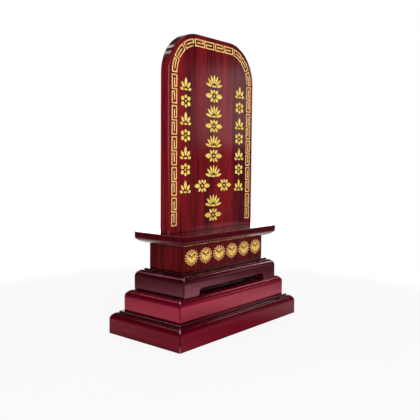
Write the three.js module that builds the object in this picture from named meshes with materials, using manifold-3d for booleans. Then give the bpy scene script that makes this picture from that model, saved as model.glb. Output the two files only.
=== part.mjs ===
// Ancestor memorial tablet on a stepped plinth, in lacquered hardwood with gilt carving.
// Millimetres, +Z up. X runs along the width, the front looks along -Y,
// and the origin is the centre of the plinth's underside.
import * as THREE from 'three';
import { mergeVertices } from 'three/addons/utils/BufferGeometryUtils.js';
import Module from 'manifold-3d';

const wasm = await Module();
wasm.setup();

// Plinth tiers, counted from the waist down
const TIER_3_WIDTH = 230;
const TIER_3_DEPTH = 115;
const TIER_3_HEIGHT = 25;
const TIER_2_WIDTH = 204;
const TIER_2_DEPTH = 90.5;
const TIER_2_HEIGHT = 25;
const TIER_1_WIDTH = 180.5;
const TIER_1_DEPTH = 80.5;
const TIER_1_HEIGHT = 23.5;
const TIER_ROUND = 8;
const TIER_ROUND_STEPS = 10;
const RAIL_LEDGE = 8;
const PANEL_THICKNESS = 8;
const PANEL_PROUD = 2;
const BASE_BOARD_THICKNESS = 4;
const LOCATING_BOARD_THICKNESS = 2;

// Low apron opening in the front rail of tier 1
const APRON_WIDTH = 128;
const APRON_HEIGHT = 8;
const APRON_CORNER = 5;

// Waist box with its row of lotus medallions
const WAIST_WIDTH = 156;
const WAIST_DEPTH = 53.5;
const WAIST_HEIGHT = 30.5;
const WAIST_BOARD = 8;
const MEDALLION_WIDTH = 23.5;
const MEDALLION_HEIGHT = 18.5;
const MEDALLION_PITCH = 25.2;
const MEDALLION_RAISE = 1;
const MEDALLION_RELIEF = 1.2;
const MEDALLION_LOBES = 16;
const MEDALLION_LOBE_DEPTH = 1.4;
const MEDALLION_TIP = 1;
const MEDALLION_TIP_POWER = 24;

// Moulded shelf that carries the tablet
const SHELF_WIDTH = 180.5;
const SHELF_DEPTH = 80;
const SHELF_EDGE = 6.5;
const SHELF_ROUND = 6.5;
const SHELF_ROUND_REACH = 11;
const SHELF_ROUND_POWER = 1.6;
const SHELF_ROUND_STEPS = 8;

// Tablet board, its tenons and its rear pocket
const TABLET_WIDTH = 162.5;
const TABLET_HEIGHT = 234;
const TABLET_THICKNESS = 13;
const TABLET_CORNER = 50;
const CORNER_STEPS = 18;
const TABLET_EDGE_ROUND = 1.5;
const EDGE_ROUND_STEPS = 3;
const TENON_WIDTH = 30;
const TENON_THICKNESS = 8;
const TENON_SPACING = 80;
const FRONT_WALL = 3.5;
const POCKET_WIDTH = 96;
const POCKET_HEIGHT = 180;
const POCKET_SILL = 24;

// Fret border engraved in the tablet's face, in strokes that fold back on themselves
const ENGRAVE_DEPTH = 0.8;
const FRET_INSET = 10;
const FRET_START = 7.5;
const FRET_HALF_WIDTH = 3.75;
const FRET_SPACING = 3;
const FRET_LINE = 1.7;
const FRET_PITCH = 35.3;
const FRET_GAP = 1.7;
const CROWN_CELLS = [2, 1, 2, 2, 2, 1];
const CURVE_STEP = 4.5;

// Columns of blossoms engraved in the tablet's face: one in the middle, which has a pair in one of its
// rows, and a smaller one on each side
const CENTRE_TOP_MARGIN = 42;
const CENTRE_FOOT = 8.5;
const CENTRE_PITCH = 18.3;
const CENTRE_BLOSSOM_WIDTH = 33;
const CENTRE_BLOSSOM_HEIGHT = 16;
const CENTRE_PETALS = [7, 8];
const CENTRE_PAIR_ROW = 7;
const CENTRE_PAIR_OFFSET = 21.5;
const CENTRE_PAIR_WIDTH = 29;
const SIDE_TOP_MARGIN = 50;
const SIDE_FOOT = 44;
const SIDE_PITCH = 19.8;
const SIDE_BLOSSOM_WIDTH = 20;
const SIDE_BLOSSOM_HEIGHT = 15.5;
const SIDE_PETALS = [5, 6];
const SIDE_COLUMN_INSET = 29.25;
const FAN_ANGLE = 1.32;
const FAN_ROOT = 0.26;
const CUP_HEIGHT = 0.16;
const CUP_HALF_WIDTH = 0.16;
const ROUND_ROOT = 0.2;
const SEED_RADIUS = 0.1;
const PETAL_FILL = 0.76;
const PETAL_FULLNESS = 0.75;
const PETAL_STEPS = 4;

// Rear cover in its dovetailed channel, and the name slips behind it
const COVER_WIDTH = 108;
const COVER_THICKNESS = 3;
const COVER_BEVEL = 1.5;
const COVER_SILL = 14;
const NOTCH_WIDTH = 18;
const NOTCH_RADIUS = 8;
const NOTCH_DEPTH = 1.5;
const NOTCH_DROP = 30;
const SLIP_WIDTH = 88;
const SLIP_HEIGHT = 165;
const SLIP_THICKNESS = 1;
const SLIP_COUNT = 2;

// Inner blocks, screws and dowels
const BLOCK = 12;
const SCREW_DIAMETER = 3.5;
const SCREW_HEAD_DIAMETER = 7;
const SCREW_HEAD_HEIGHT = 2;
const SCREW_LENGTH = 15;
const DOWEL_DIAMETER = 5;
const DOWEL_BITE = 8;
const ROUND_SIDES = 8;

// Clearances
const MITRE_GAP = 0.3;
const FIT = 0.3;
const PANEL_GAP = 0.25;
const TENON_END_GAP = 1;
const SCREW_HEAD_RECESS = 0.3;

// Levels and insets that follow from the sizes above
const RAIL_THICKNESS = TIER_ROUND + RAIL_LEDGE;
const SHELF_THICKNESS = SHELF_EDGE + SHELF_ROUND;
const TIER_2_LEVEL = TIER_3_HEIGHT + PANEL_PROUD;
const TIER_1_LEVEL = TIER_2_LEVEL + TIER_2_HEIGHT;
const WAIST_LEVEL = TIER_1_LEVEL + TIER_1_HEIGHT + PANEL_PROUD;
const SHELF_LEVEL = WAIST_LEVEL + WAIST_HEIGHT;
const TABLET_LEVEL = SHELF_LEVEL + SHELF_THICKNESS;
const FRONT_FACE = -TABLET_THICKNESS / 2;
const BACK_FACE = TABLET_THICKNESS / 2;
const CHANNEL_FLOOR = BACK_FACE - COVER_THICKNESS - FIT;
const FRET_RADIUS = TABLET_CORNER - FRET_INSET;
const FRET_SIDE = TABLET_HEIGHT - TABLET_CORNER - FRET_START;
const FRET_ARC = (Math.PI / 2) * FRET_RADIUS;
const FRET_TOP = TABLET_WIDTH - 2 * TABLET_CORNER;

function lacquer(color, roughness = 0.22) {
  return new THREE.MeshStandardMaterial({ color, roughness, metalness: 0 });
}

const tabletLacquer = lacquer(0x6b1a1e);
const waistLacquer = lacquer(0x5e1a17);
const shelfLacquer = lacquer(0x4a0f14);
const tier1Lacquer = lacquer(0x50263a);
const tier2Lacquer = lacquer(0x962d41);
const tier3Lacquer = lacquer(0x731423);
const bareWood = lacquer(0x8a5a3a, 0.7);
const gilding = new THREE.MeshStandardMaterial({ color: 0xf0c060, roughness: 0.3, metalness: 0.9 });
const steel = new THREE.MeshStandardMaterial({ color: 0xb0a890, roughness: 0.35, metalness: 1 });

function toSolid(geometry) {
  const bare = geometry.clone();
  bare.deleteAttribute('normal');
  bare.deleteAttribute('uv');
  const merged = mergeVertices(bare, 1e-4);
  return new wasm.Manifold(new wasm.Mesh({
    numProp: 3,
    vertProperties: new Float32Array(merged.attributes.position.array),
    triVerts: new Uint32Array(merged.index.array),
  }));
}

function toGeometry(solid) {
  const mesh = solid.getMesh();
  const geometry = new THREE.BufferGeometry();
  geometry.setAttribute('position', new THREE.BufferAttribute(new Float32Array(mesh.vertProperties), 3));
  geometry.setIndex(new THREE.BufferAttribute(new Uint32Array(mesh.triVerts), 1));
  const flat = geometry.toNonIndexed();
  flat.computeVertexNormals();
  return flat;
}

function cut(geometry, cutters) {
  let solid = toSolid(geometry);
  for (const cutter of cutters) {
    solid = solid.subtract(toSolid(cutter));
  }
  return toGeometry(solid);
}

function join(geometries) {
  let solid = toSolid(geometries[0]);
  for (const geometry of geometries.slice(1)) {
    solid = solid.add(toSolid(geometry));
  }
  return toGeometry(solid);
}

function piece(name, geometry, material, x = 0, y = 0, z = 0) {
  const mesh = new THREE.Mesh(geometry, material);
  mesh.name = name;
  mesh.position.set(x, y, z);
  return mesh;
}

// A box from its width, depth and height, standing on z = 0 and centred on x and y
function block(width, depth, height) {
  return new THREE.BoxGeometry(width, depth, height).translate(0, 0, height / 2);
}

// A flat shape drawn in x and z, given a thickness from one y to another
function standing(shapes, yFront, yBack) {
  const geometry = new THREE.ExtrudeGeometry(shapes, {
    depth: yBack - yFront, bevelEnabled: false, curveSegments: CORNER_STEPS,
  });
  return geometry.rotateX(Math.PI / 2).translate(0, yBack, 0);
}

function polygon(points) {
  return new THREE.Shape(points.map(([x, y]) => new THREE.Vector2(x, y)));
}

// An arc as points, from one angle to another about a centre
function arcPoints(cx, cy, radius, from, to, steps) {
  return Array.from({ length: steps + 1 }, (_, i) => {
    const angle = from + ((to - from) * i) / steps;
    return [cx + radius * Math.cos(angle), cy + radius * Math.sin(angle)];
  });
}

// A rail of a frame. Its section is drawn with x measured inwards from the outer face,
// and both ends are cut back at 45 degrees, so four of them meet in mitres.
function mitredRail(section, halfLength, faceDistance) {
  const geometry = new THREE.ExtrudeGeometry(polygon(section), { depth: 1, bevelEnabled: false });
  const position = geometry.attributes.position;
  const endCut = MITRE_GAP / Math.SQRT2;
  for (let i = 0; i < position.count; i += 1) {
    const inset = position.getX(i);
    const side = position.getZ(i) > 0.5 ? 1 : -1;
    position.setXYZ(i, side * (halfLength - inset - endCut), inset - faceDistance, position.getY(i));
  }
  geometry.computeVertexNormals();
  return geometry;
}

// The four mitred rails of a frame, in the order front, right, back, left
function mitredFrame(prefix, suffix, section, width, depth, material, frontCutters = []) {
  const frame = new THREE.Group();
  ['front', 'right', 'back', 'left'].forEach((side, i) => {
    const across = i % 2 === 0 ? [width / 2, depth / 2] : [depth / 2, width / 2];
    let geometry = mitredRail(section, ...across);
    if (side === 'front' && frontCutters.length > 0) {
      geometry = cut(geometry, frontCutters);
    }
    const rail = piece(`${prefix}_${side}_${suffix}`, geometry, material);
    rail.rotation.z = (i * Math.PI) / 2;
    frame.add(rail);
  });
  return frame;
}

// A tier rail's section: upright face, rounded shoulder and the rebate that holds the panel
function tierSection(height, proud) {
  const seat = height - (PANEL_THICKNESS - proud);
  return [
    [0, 0],
    [RAIL_THICKNESS, 0],
    [RAIL_THICKNESS, seat],
    [TIER_ROUND, seat],
    ...arcPoints(TIER_ROUND, height - TIER_ROUND, TIER_ROUND, Math.PI / 2, Math.PI, TIER_ROUND_STEPS),
  ];
}

// Where the blocks and screws of a box stand, from the sizes of its inside
function blockPlaces(insideWidth, insideDepth) {
  const x = (insideWidth - BLOCK) / 2;
  const y = (insideDepth - BLOCK) / 2;
  return [[-x, -y], [x, -y], [x, y], [-x, y]];
}

// A countersunk screw pointing up, its head face on z = 0; the same outline made wider cuts its hole
function screwBody(length, allowance = 0) {
  const head = SCREW_HEAD_DIAMETER / 2 + allowance;
  const shank = SCREW_DIAMETER / 2 + allowance;
  const outline = [
    [0, -allowance],
    [head, -allowance],
    [head, 0],
    [shank, SCREW_HEAD_HEIGHT],
    [shank, length - SCREW_DIAMETER / 2 + allowance],
    [0, length + allowance],
  ].filter(([x, y], i, all) => i === 0 || x !== all[i - 1][0] || y !== all[i - 1][1]);
  const profile = outline.map(([x, y]) => new THREE.Vector2(x, y));
  return new THREE.LatheGeometry(profile, ROUND_SIDES).rotateX(Math.PI / 2);
}

// The glue blocks of a frame or box, each with the holes that are cut where it stands
function cornerBlocks(prefix, places, height, holes = []) {
  return places.map(([x, y], i) => {
    const geometry = cut(block(BLOCK, BLOCK, height), holes);
    return piece(`${prefix}_${i + 1}`, geometry, bareWood, x, y, 0);
  });
}

// One tier: its mitred frame, its panel and the glue blocks in its corners
function tier(spec) {
  const group = new THREE.Group();
  group.position.z = spec.level;
  const section = tierSection(spec.height, spec.proud);
  const { name, width, depth, material, frontCutters } = spec;
  group.add(mitredFrame(name, 'rail', section, width, depth, material, frontCutters));
  const panelWidth = width - 2 * (TIER_ROUND + PANEL_GAP);
  const panelDepth = depth - 2 * (TIER_ROUND + PANEL_GAP);
  const panelLevel = spec.height - (PANEL_THICKNESS - spec.proud);
  const panel = block(panelWidth, panelDepth, PANEL_THICKNESS);
  group.add(piece(`${name}_panel`, panel, material, 0, 0, panelLevel));
  const places = blockPlaces(width - 2 * RAIL_THICKNESS, depth - 2 * RAIL_THICKNESS);
  const blockHeight = panelLevel - spec.blockLevel;
  cornerBlocks(`${name}_block`, places, blockHeight, spec.blockHoles).forEach((mesh) => {
    mesh.position.z = spec.blockLevel;
    group.add(mesh);
  });
  return group;
}

// Base board, let in between the rails of the lowest tier, with its four screws
function baseBoard() {
  const group = new THREE.Group();
  const insideWidth = TIER_3_WIDTH - 2 * RAIL_THICKNESS;
  const insideDepth = TIER_3_DEPTH - 2 * RAIL_THICKNESS;
  const places = blockPlaces(insideWidth, insideDepth);
  const holes = places.map(([x, y]) => screwBody(SCREW_LENGTH, FIT).translate(x, y, SCREW_HEAD_RECESS));
  const board = block(insideWidth - 2 * PANEL_GAP, insideDepth - 2 * PANEL_GAP, BASE_BOARD_THICKNESS);
  group.add(piece('base_board', cut(board, holes), bareWood));
  places.forEach(([x, y], i) => {
    group.add(piece(`base_screw_${i + 1}`, screwBody(SCREW_LENGTH), steel, x, y, SCREW_HEAD_RECESS));
  });
  return group;
}

// The apron opening's cutter: a low slot with rounded upper corners, through the front rail
function apronCutter() {
  const half = APRON_WIDTH / 2;
  const top = APRON_HEIGHT;
  const slot = new THREE.Shape();
  slot.moveTo(-half, -FIT);
  slot.lineTo(half, -FIT);
  slot.lineTo(half, top - APRON_CORNER);
  slot.absarc(half - APRON_CORNER, top - APRON_CORNER, APRON_CORNER, 0, Math.PI / 2);
  slot.absarc(APRON_CORNER - half, top - APRON_CORNER, APRON_CORNER, Math.PI / 2, Math.PI);
  const front = -TIER_1_DEPTH / 2;
  const geometry = new THREE.ExtrudeGeometry(slot, {
    depth: RAIL_THICKNESS + 2 * FIT, bevelEnabled: false, curveSegments: 5,
  });
  return geometry.rotateX(Math.PI / 2).translate(0, front + RAIL_THICKNESS + FIT, 0);
}

// Thin board on tier 2 that the frame of tier 1 fits round
function locatingBoard() {
  const width = TIER_1_WIDTH - 2 * (RAIL_THICKNESS + PANEL_GAP);
  const depth = TIER_1_DEPTH - 2 * (RAIL_THICKNESS + PANEL_GAP);
  const board = block(width, depth, LOCATING_BOARD_THICKNESS);
  return piece('tier_1_locating_board', board, tier1Lacquer, 0, 0, TIER_1_LEVEL);
}

function tiers() {
  const group = new THREE.Group();
  group.add(baseBoard());
  group.add(tier({
    name: 'tier_3', width: TIER_3_WIDTH, depth: TIER_3_DEPTH, height: TIER_3_HEIGHT,
    level: 0, proud: PANEL_PROUD, material: tier3Lacquer, blockLevel: BASE_BOARD_THICKNESS,
    blockHoles: [screwBody(SCREW_LENGTH, FIT).translate(0, 0, SCREW_HEAD_RECESS - BASE_BOARD_THICKNESS)],
  }));
  group.add(tier({
    name: 'tier_2', width: TIER_2_WIDTH, depth: TIER_2_DEPTH, height: TIER_2_HEIGHT,
    level: TIER_2_LEVEL, proud: 0, material: tier2Lacquer, blockLevel: 0,
  }));
  group.add(locatingBoard());
  group.add(tier({
    name: 'tier_1', width: TIER_1_WIDTH, depth: TIER_1_DEPTH, height: TIER_1_HEIGHT,
    level: TIER_1_LEVEL, proud: PANEL_PROUD, material: tier1Lacquer, blockLevel: LOCATING_BOARD_THICKNESS,
    frontCutters: [apronCutter()],
  }));
  return group;
}

// A dowel's rod, standing on z = 0
function rod(diameter, length) {
  const geometry = new THREE.CylinderGeometry(diameter / 2, diameter / 2, length, ROUND_SIDES);
  return geometry.rotateX(Math.PI / 2).translate(0, 0, length / 2);
}

// The bore for a dowel that stands half in each of two pieces that meet at a level
function dowelBore(level) {
  const reach = DOWEL_BITE + FIT;
  return rod(DOWEL_DIAMETER + 2 * FIT, 2 * reach).translate(0, 0, level - reach);
}

// A medallion's outline: an oval with many small lobes, drawn out to a tip at its foot
function medallionShape() {
  const count = MEDALLION_LOBES * 4;
  const points = Array.from({ length: count }, (_, i) => {
    const angle = (i / count) * 2 * Math.PI;
    const fromFoot = angle + Math.PI / 2;
    const tip = MEDALLION_TIP * Math.max(0, Math.cos(fromFoot)) ** MEDALLION_TIP_POWER;
    const lobe = (MEDALLION_LOBE_DEPTH / 2) * (Math.cos(MEDALLION_LOBES * fromFoot) - 1);
    const reachX = MEDALLION_WIDTH / 2 + lobe;
    const reachZ = MEDALLION_HEIGHT / 2 + lobe + tip;
    return [reachX * Math.cos(angle), reachZ * Math.sin(angle)];
  });
  return polygon(points);
}

function waistBlockPlaces() {
  return blockPlaces(WAIST_WIDTH - 2 * WAIST_BOARD, WAIST_DEPTH - 2 * WAIST_BOARD);
}

function waist() {
  const group = new THREE.Group();
  group.position.z = WAIST_LEVEL;
  const section = [[0, 0], [WAIST_BOARD, 0], [WAIST_BOARD, WAIST_HEIGHT], [0, WAIST_HEIGHT]];
  group.add(mitredFrame('waist', 'board', section, WAIST_WIDTH, WAIST_DEPTH, waistLacquer));
  cornerBlocks('waist_block', waistBlockPlaces(), WAIST_HEIGHT, [dowelBore(WAIST_HEIGHT)]).forEach((mesh) => {
    group.add(mesh);
  });
  const count = Math.floor(WAIST_WIDTH / MEDALLION_PITCH);
  const front = -WAIST_DEPTH / 2;
  const level = (WAIST_HEIGHT + MEDALLION_TIP) / 2 + MEDALLION_RAISE;
  for (let i = 0; i < count; i += 1) {
    const medallion = standing(medallionShape(), -MEDALLION_RELIEF, 0);
    const x = (i - (count - 1) / 2) * MEDALLION_PITCH;
    group.add(piece(`lotus_medallion_${i + 1}`, medallion, gilding, x, front, level));
  }
  return group;
}

// A board whose four edges all carry one moulding, given from the underside up as [inset, height]
function mouldedBoard(profile, width, depth) {
  const rings = profile.map(([inset, height]) => {
    const x = width / 2 - inset;
    const y = depth / 2 - inset;
    return [[-x, -y, height], [x, -y, height], [x, y, height], [-x, y, height]];
  });
  const triangles = [];
  const quad = (a, b, c, d) => triangles.push(a, b, c, a, c, d);
  const bottom = rings[0];
  const top = rings[rings.length - 1];
  quad(bottom[3], bottom[2], bottom[1], bottom[0]);
  quad(top[0], top[1], top[2], top[3]);
  for (let k = 1; k < rings.length; k += 1) {
    for (let i = 0; i < 4; i += 1) {
      const j = (i + 1) % 4;
      quad(rings[k - 1][i], rings[k - 1][j], rings[k][j], rings[k][i]);
    }
  }
  const geometry = new THREE.BufferGeometry();
  geometry.setAttribute('position', new THREE.Float32BufferAttribute(triangles.flat(), 3));
  geometry.computeVertexNormals();
  return geometry;
}

function tenonPlaces() {
  return [-TENON_SPACING / 2, TENON_SPACING / 2];
}

// The shelf's moulding, from the underside up as [inset, height]: a drawn-in quarter of a superellipse
// under an upright edge
function shelfProfile() {
  const curve = Array.from({ length: SHELF_ROUND_STEPS + 1 }, (_, i) => {
    const angle = (i / SHELF_ROUND_STEPS) * (Math.PI / 2);
    const inset = SHELF_ROUND_REACH * (1 - Math.sin(angle) ** (2 / SHELF_ROUND_POWER));
    const height = SHELF_ROUND * (1 - Math.cos(angle) ** (2 / SHELF_ROUND_POWER));
    return [inset, height];
  });
  return [...curve, [0, SHELF_THICKNESS]];
}

function shelf() {
  const group = new THREE.Group();
  group.position.z = SHELF_LEVEL;
  const mortises = tenonPlaces().map((x) =>
    block(TENON_WIDTH + 2 * FIT, TENON_THICKNESS + 2 * FIT, SHELF_THICKNESS + 2 * FIT).translate(x, 0, -FIT));
  const bores = waistBlockPlaces().map(([x, y]) => dowelBore(0).translate(x, y, 0));
  const board = cut(mouldedBoard(shelfProfile(), SHELF_WIDTH, SHELF_DEPTH), [...mortises, ...bores]);
  group.add(piece('shelf_board', board, shelfLacquer));
  waistBlockPlaces().forEach(([x, y], i) => {
    const dowel = rod(DOWEL_DIAMETER, 2 * DOWEL_BITE);
    group.add(piece(`shelf_dowel_${i + 1}`, dowel, bareWood, x, y, -DOWEL_BITE));
  });
  return group;
}

// The tablet's outline: upright sides and two large rounded upper corners, down to a foot
function tabletOutline(foot) {
  const half = TABLET_WIDTH / 2;
  const rise = TABLET_HEIGHT - TABLET_CORNER;
  return polygon([
    [-half, foot],
    [half, foot],
    ...arcPoints(half - TABLET_CORNER, rise, TABLET_CORNER, 0, Math.PI / 2, CORNER_STEPS),
    ...arcPoints(TABLET_CORNER - half, rise, TABLET_CORNER, Math.PI / 2, Math.PI, CORNER_STEPS),
  ]);
}

// The board alone, with its front and back edges rounded over and its foot cut off level
function tabletSlab() {
  const spare = 2 * TABLET_EDGE_ROUND;
  const slab = new THREE.ExtrudeGeometry(tabletOutline(-spare), {
    depth: TABLET_THICKNESS - 2 * TABLET_EDGE_ROUND,
    bevelThickness: TABLET_EDGE_ROUND,
    bevelSize: TABLET_EDGE_ROUND,
    bevelOffset: -TABLET_EDGE_ROUND,
    bevelSegments: EDGE_ROUND_STEPS,
  });
  slab.rotateX(Math.PI / 2).translate(0, BACK_FACE - TABLET_EDGE_ROUND, 0);
  const waste = block(2 * TABLET_WIDTH, 2 * TABLET_THICKNESS, 2 * spare).translate(0, 0, -2 * spare);
  return cut(slab, [waste]);
}

// A point of the fret's course, in x and z: s runs from the lower left corner up, over and down
// the right side at an even inset from the edge, and t is the distance outwards from that line.
function onCourse(s, t) {
  const centreX = TABLET_WIDTH / 2 - TABLET_CORNER;
  const centreZ = TABLET_HEIGHT - TABLET_CORNER;
  const middle = FRET_SIDE + FRET_ARC + FRET_TOP / 2;
  const side = s < middle ? -1 : 1;
  const along = s < middle ? s : 2 * middle - s;
  if (along <= FRET_SIDE) {
    return [side * (centreX + FRET_RADIUS + t), FRET_START + along];
  }
  if (along < FRET_SIDE + FRET_ARC) {
    const angle = (along - FRET_SIDE) / FRET_RADIUS;
    const reach = FRET_RADIUS + t;
    return [side * (centreX + reach * Math.cos(angle)), centreZ + reach * Math.sin(angle)];
  }
  return [side * (middle - along), centreZ + FRET_RADIUS + t];
}

// The line of one fret unit, as [s, t]: a single hook, or two hooks that meet in a wave
function fretLine(cells, length) {
  const h = FRET_HALF_WIDTH;
  const g = FRET_SPACING;
  if (cells === 1) {
    return [[g, 0], [length, 0], [length, h], [0, h], [0, -h], [length, -h]];
  }
  const middle = length / 2;
  return [
    [g, 0], [middle - g, 0], [middle - g, h], [0, h], [0, -h], [middle, -h],
    [middle, h], [length, h], [length, -h], [middle + g, -h], [middle + g, 0], [length - g, 0],
  ];
}

// Adds points to a line's long stretches, so that it can follow a curve
function subdivided(line, step) {
  return line.flatMap(([x, y], i) => {
    if (i === 0) {
      return [[x, y]];
    }
    const [fromX, fromY] = line[i - 1];
    const count = Math.max(1, Math.round(Math.hypot(x - fromX, y - fromY) / step));
    return Array.from({ length: count }, (_, k) => {
      const u = (k + 1) / count;
      return [fromX + (x - fromX) * u, fromY + (y - fromY) * u];
    });
  });
}

// The outline of a line drawn with a square-cut stroke, mitred at its turns
function strokeOutline(line, width) {
  const unit = ([ax, ay], [bx, by]) => {
    const length = Math.hypot(bx - ax, by - ay) || 1;
    return [(bx - ax) / length, (by - ay) / length];
  };
  const left = [];
  const right = [];
  line.forEach((point, i) => {
    const before = i > 0 ? unit(line[i - 1], point) : unit(point, line[1]);
    const after = i < line.length - 1 ? unit(point, line[i + 1]) : before;
    const turned = before[0] * after[0] + before[1] * after[1] < 0.5;
    const acrossX = turned ? -(before[1] + after[1]) : -before[1];
    const acrossY = turned ? before[0] + after[0] : before[0];
    left.push([point[0] + acrossX * (width / 2), point[1] + acrossY * (width / 2)]);
    right.unshift([point[0] - acrossX * (width / 2), point[1] - acrossY * (width / 2)]);
  });
  return [...left, ...right];
}

// The outline of one fret unit that starts at a place on the course and takes up a pitch
function fretUnit(start, pitch, cells, curved) {
  const length = pitch - FRET_GAP - FRET_LINE;
  const first = start + (FRET_GAP + FRET_LINE) / 2;
  const line = fretLine(cells, length);
  const outline = strokeOutline(curved ? subdivided(line, CURVE_STEP) : line, FRET_LINE);
  return polygon(outline.map(([s, t]) => onCourse(first + s, t)));
}

// The whole border: even units up both sides, and a run of long and short units over the crown
function fretBorder() {
  const units = [];
  const sideCount = Math.max(1, Math.round(FRET_SIDE / FRET_PITCH));
  const sidePitch = FRET_SIDE / sideCount;
  const crown = 2 * FRET_ARC + FRET_TOP;
  for (let i = 0; i < sideCount; i += 1) {
    units.push(fretUnit(i * sidePitch, sidePitch, 2, false));
    units.push(fretUnit(FRET_SIDE + crown + i * sidePitch, sidePitch, 2, false));
  }
  const cell = crown / CROWN_CELLS.reduce((sum, cells) => sum + cells, 0);
  let start = FRET_SIDE;
  for (const cells of CROWN_CELLS) {
    units.push(fretUnit(start, cells * cell, cells, true));
    start += cells * cell;
  }
  return units;
}

// A pointed petal on a line out from a centre, between two distances, at an angle from upright
function petal(x, z, angle, from, to, width) {
  const points = [];
  for (let i = 0; i < 2 * PETAL_STEPS; i += 1) {
    const u = i <= PETAL_STEPS ? i / PETAL_STEPS : 2 - i / PETAL_STEPS;
    const side = i <= PETAL_STEPS ? 1 : -1;
    const across = side * (width / 2) * Math.max(0, Math.sin(Math.PI * u)) ** PETAL_FULLNESS;
    const along = from + (to - from) * u;
    points.push([
      x + along * Math.sin(angle) + across * Math.cos(angle),
      z + along * Math.cos(angle) - across * Math.sin(angle),
    ]);
  }
  return polygon(points);
}

// A ring of petals out to an ellipse, at angles from upright that are a pitch apart
function petalRing(x, z, angles, pitch, root, reachX, reachZ) {
  return angles.map((angle) => {
    const reach = 1 / Math.hypot(Math.sin(angle) / reachX, Math.cos(angle) / reachZ);
    const width = (root + reach) * Math.tan(pitch / 2) * PETAL_FILL;
    return petal(x, z, angle, root, reach, width);
  });
}

// A blossom from the side: a fan of petals over a flat cup
function fanBlossom(x, z, width, height, petals) {
  const foot = z - height / 2;
  const pitch = (2 * FAN_ANGLE) / (petals - 1);
  const angles = Array.from({ length: petals }, (_, i) => i * pitch - FAN_ANGLE);
  const fan = petalRing(x, foot, angles, pitch, height * FAN_ROOT, width / 2, height);
  const reach = width * CUP_HALF_WIDTH;
  const cup = petal(x, foot + (height * CUP_HEIGHT) / 2, Math.PI / 2, -reach, reach, height * CUP_HEIGHT);
  return [...fan, cup];
}

// A blossom from above: a ring of petals round a seed head
function roundBlossom(x, z, width, height, petals) {
  const pitch = (2 * Math.PI) / petals;
  const angles = Array.from({ length: petals }, (_, i) => i * pitch);
  const ring = petalRing(x, z, angles, pitch, height * ROUND_ROOT, width / 2, height / 2);
  const turn = (2 * Math.PI * (ROUND_SIDES - 1)) / ROUND_SIDES;
  return [...ring, polygon(arcPoints(x, z, height * SEED_RADIUS, 0, turn, ROUND_SIDES - 1))];
}

// The levels of a column's rows, from the top down
function columnRows(top, foot, pitch) {
  const count = Math.floor((top - foot) / pitch);
  return Array.from({ length: count }, (_, i) => top - (i + 0.5) * ((top - foot) / count));
}

// The blossom of a row: from the side and from above in turn
function rowBlossom(row, x, z, width, height, petals) {
  const blossom = row % 2 === 0 ? fanBlossom : roundBlossom;
  return blossom(x, z, width, height, petals[row % 2]);
}

// The middle column, one row of which holds two blossoms set apart
function centreColumn() {
  const rows = columnRows(TABLET_HEIGHT - CENTRE_TOP_MARGIN, CENTRE_FOOT, CENTRE_PITCH);
  return rows.flatMap((z, row) => {
    const paired = row === CENTRE_PAIR_ROW;
    const width = paired ? CENTRE_PAIR_WIDTH : CENTRE_BLOSSOM_WIDTH;
    const places = paired ? [-CENTRE_PAIR_OFFSET, CENTRE_PAIR_OFFSET] : [0];
    return places.flatMap((x) => rowBlossom(row, x, z, width, CENTRE_BLOSSOM_HEIGHT, CENTRE_PETALS));
  });
}

function sideColumn(x) {
  const rows = columnRows(TABLET_HEIGHT - SIDE_TOP_MARGIN, SIDE_FOOT, SIDE_PITCH);
  return rows.flatMap((z, row) =>
    rowBlossom(row, x, z, SIDE_BLOSSOM_WIDTH, SIDE_BLOSSOM_HEIGHT, SIDE_PETALS));
}

function engraving() {
  const sideX = TABLET_WIDTH / 2 - SIDE_COLUMN_INSET;
  return [...fretBorder(), ...centreColumn(), ...sideColumn(-sideX), ...sideColumn(sideX)];
}

// The cover's dovetail section as a tall bar; the same bar made wider cuts its channel
function dovetailBar(allowance, backReach, height) {
  const slope = COVER_BEVEL / COVER_THICKNESS;
  const outer = COVER_WIDTH / 2 + allowance;
  const thickness = COVER_THICKNESS + allowance;
  const section = polygon([
    [-outer - slope * thickness, BACK_FACE - thickness],
    [outer + slope * thickness, BACK_FACE - thickness],
    [outer - slope * backReach, BACK_FACE + backReach],
    [-outer + slope * backReach, BACK_FACE + backReach],
  ]);
  return new THREE.ExtrudeGeometry(section, { depth: height, bevelEnabled: false });
}

function tabletBoard() {
  const tenonLength = SHELF_THICKNESS - TENON_END_GAP;
  const root = FRONT_WALL;
  const tenons = tenonPlaces().map((x) =>
    block(TENON_WIDTH, TENON_THICKNESS, tenonLength + root).translate(x, 0, -tenonLength));
  const body = join([tabletSlab(), ...tenons]);
  const channel = dovetailBar(FIT, FIT, TABLET_HEIGHT).translate(0, 0, COVER_SILL);
  const pocketFloor = FRONT_FACE + FRONT_WALL;
  const pocketDepth = CHANNEL_FLOOR + FIT - pocketFloor;
  const pocket = block(POCKET_WIDTH, pocketDepth, POCKET_HEIGHT)
    .translate(0, pocketFloor + pocketDepth / 2, POCKET_SILL);
  const grooves = engraving().map((shape) => standing(shape, FRONT_FACE - FIT, FRONT_FACE + ENGRAVE_DEPTH));
  return piece('tablet_board', cut(body, [channel, pocket, ...grooves]), tabletLacquer);
}

function rearCover() {
  const bar = toSolid(dovetailBar(0, 0, TABLET_HEIGHT).translate(0, 0, COVER_SILL + FIT));
  const slab = toSolid(tabletSlab());
  const notch = new THREE.CylinderGeometry(NOTCH_RADIUS, NOTCH_RADIUS, NOTCH_WIDTH, 2 * ROUND_SIDES);
  notch.rotateZ(Math.PI / 2);
  notch.translate(0, BACK_FACE + NOTCH_RADIUS - NOTCH_DEPTH, TABLET_HEIGHT - NOTCH_DROP);
  const cover = bar.intersect(slab).subtract(toSolid(notch));
  return piece('rear_cover', toGeometry(cover), tabletLacquer);
}

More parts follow.
